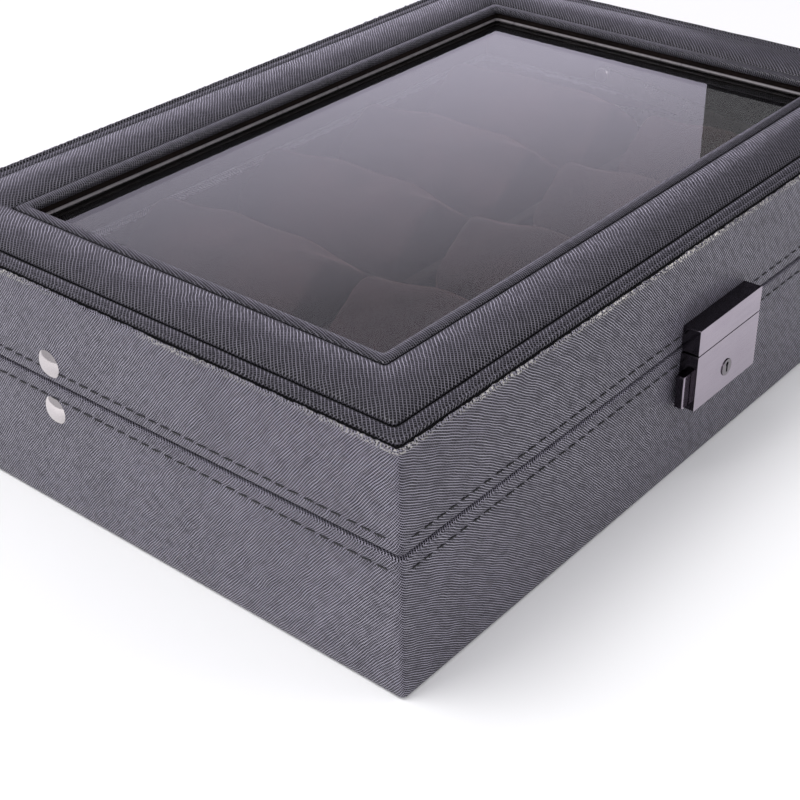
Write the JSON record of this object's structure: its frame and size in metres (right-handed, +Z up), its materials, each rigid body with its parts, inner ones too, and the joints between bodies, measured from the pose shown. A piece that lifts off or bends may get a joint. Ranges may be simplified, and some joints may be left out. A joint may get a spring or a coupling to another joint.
{
  "type": "watch box",
  "caption": "Leather-covered watch box: glass-topped hinged lid on folding stays, front push-button lock, and rows of velvet pillows between dividers.",
  "frame": {"origin": "middle of the underside of the leather case, on the surface it stands on", "axes": "+Z up, -Y out of the face with the lock, +X to the right when that face is looked at"},
  "size_m": [0.3028, 0.2151, 0.0802],
  "materials": {
    "black_leather": "semi-matt cross-grain",
    "board": "raw fibreboard",
    "pillow_velvet": "short velvet pile",
    "brown_lining": "short velvet pile",
    "black_lining": "short velvet pile",
    "felt": "pressed felt",
    "glass": "polished, clear",
    "gunmetal": "polished gunmetal plate",
    "steel": "zinc-plated",
    "nickel": "polished nickel plate"
  },
  "bodies": {
    "base": {"base_board_back": "board", "base_board_floor": "board", "base_board_front": "board", "base_board_left": "board", "base_board_right": "board", "base_felt": "felt", "base_leather": "black_leather", "base_lining": "brown_lining", "divider_cross_1": "brown_lining", "divider_cross_2": "brown_lining", "divider_cross_3": "brown_lining", "divider_cross_4": "brown_lining", "divider_long": "brown_lining", "hinge_leaf_base_left": "steel", "hinge_leaf_base_right": "steel", "hinge_pins": "steel", "hinge_screws_base": "steel", "lock_backplate": "steel", "lock_case": "gunmetal", "pillow_back_1": "pillow_velvet", "pillow_back_2": "pillow_velvet", "pillow_back_3": "pillow_velvet", "pillow_back_4": "pillow_velvet", "pillow_back_5": "pillow_velvet", "pillow_front_1": "pillow_velvet", "pillow_front_2": "pillow_velvet", "pillow_front_3": "pillow_velvet", "pillow_front_4": "pillow_velvet", "pillow_front_5": "pillow_velvet", "stay_rivet_base_left": "nickel", "stay_rivet_base_right": "nickel"},
    "lid": {"hinge_leaf_lid_left": "steel", "hinge_leaf_lid_right": "steel", "hinge_screws_lid": "steel", "lid_bead": "black_leather", "lid_board_back": "board", "lid_board_front": "board", "lid_board_left": "board", "lid_board_right": "board", "lid_crown": "black_leather", "lid_glass": "glass", "lid_leather": "black_leather", "lid_ledge": "black_leather", "lid_lining": "black_lining", "lid_opening_lining": "brown_lining", "lid_retainer": "black_lining", "lid_top_frame": "board", "lock_hasp": "gunmetal", "lock_hook": "steel", "stay_rivet_lid_left": "nickel", "stay_rivet_lid_right": "nickel"},
    "stay_lower_left": {"stay_knee_rivet_left": "nickel", "stay_lower_left": "nickel"},
    "stay_upper_left": {"stay_upper_left": "nickel"},
    "stay_lower_right": {"stay_knee_rivet_right": "nickel", "stay_lower_right": "nickel"},
    "stay_upper_right": {"stay_upper_right": "nickel"},
    "latch": {"lock_button": "nickel", "lock_slider": "steel"},
    "key_plug": {"lock_plug": "nickel"}
  },
  "joints": [
    {"name": "lid_hinge", "type": "hinge", "parent": "base", "child": "lid", "pos_m": [0, 0.1044, 0.0462], "axis": [-1, 0, 0], "range_deg": [0, 95]},
    {"name": "stay_lower_left_pivot", "type": "hinge", "parent": "base", "child": "stay_lower_left", "pos_m": [-0.1362, 0.0295, 0.0367], "axis": [-1, 0, 0], "range_deg": [0, 95]},
    {"name": "stay_upper_left_pivot", "type": "hinge", "parent": "lid", "child": "stay_upper_left", "pos_m": [-0.1362, 0.02916, 0.0525], "axis": [-1, 0, 0], "range_deg": [-95, 0]},
    {"name": "stay_lower_right_pivot", "type": "hinge", "parent": "base", "child": "stay_lower_right", "pos_m": [0.1362, 0.0295, 0.0367], "axis": [-1, 0, 0], "range_deg": [0, 95]},
    {"name": "stay_upper_right_pivot", "type": "hinge", "parent": "lid", "child": "stay_upper_right", "pos_m": [0.1362, 0.02916, 0.0525], "axis": [-1, 0, 0], "range_deg": [-95, 0]},
    {"name": "lock_button_slide", "type": "slide", "parent": "base", "child": "latch", "axis": [1, 0, 0], "range_m": [0, 0.0024], "stiffness_N_per_m": 500, "springref_m": -0.002},
    {"name": "lock_key_turn", "type": "hinge", "parent": "base", "child": "key_plug", "pos_m": [-0.0025, -0.107, 0.0334], "axis": [0, 1, 0], "range_deg": [0, 90]}
  ],
  "couplings": [
    {"joint": "stay_lower_left_pivot", "follows": "lid_hinge", "ratio": 1},
    {"joint": "stay_upper_left_pivot", "follows": "lid_hinge", "ratio": -1},
    {"joint": "stay_lower_right_pivot", "follows": "lid_hinge", "ratio": 1},
    {"joint": "stay_upper_right_pivot", "follows": "lid_hinge", "ratio": -1}
  ]
}
